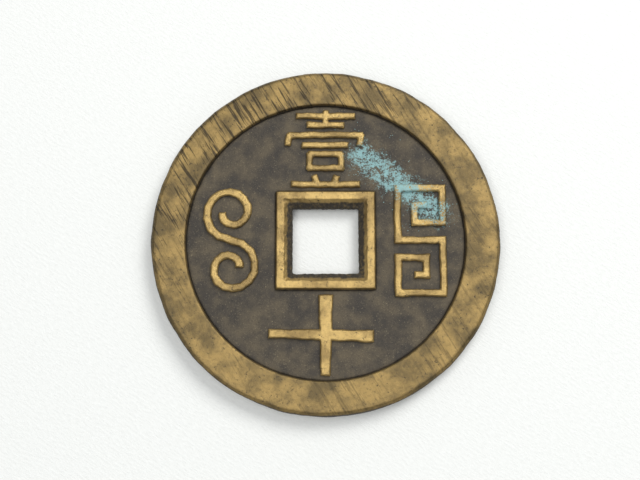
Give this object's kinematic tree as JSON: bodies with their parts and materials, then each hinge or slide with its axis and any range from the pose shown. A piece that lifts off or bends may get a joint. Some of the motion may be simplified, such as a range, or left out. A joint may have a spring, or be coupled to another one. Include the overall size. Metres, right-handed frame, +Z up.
{
  "type": "cash coin",
  "caption": "Round cast brass cash coin with raised rims, relief marks on both faces and a square hole for stringing.",
  "frame": {"origin": "centre of the obverse rim face, which the coin lies on", "axes": "+Z up through the hole from obverse to reverse, +Y towards the reverse's top mark"},
  "size_m": [0.0376, 0.0376, 0.0024],
  "materials": {
    "rim_brass": "worn cast brass with file marks",
    "mark_brass": "worn golden brass with dark pits",
    "field_brass": "dark grey-brown patina with pale blue-green verdigris"
  },
  "bodies": {
    "root": {"outer_rim": "rim_brass", "inner_rim": "mark_brass", "field": "field_brass", "ten": "mark_brass", "one_cross": "mark_brass", "one_cover": "mark_brass", "one_bar": "mark_brass", "one_box": "mark_brass", "one_foot": "mark_brass", "cloud_scroll": "mark_brass", "thunder_fret": "mark_brass", "obverse_scroll_east": "mark_brass", "obverse_scroll_north": "mark_brass", "obverse_scroll_south": "mark_brass", "obverse_scroll_west": "mark_brass"}
  },
  "joints": []
}
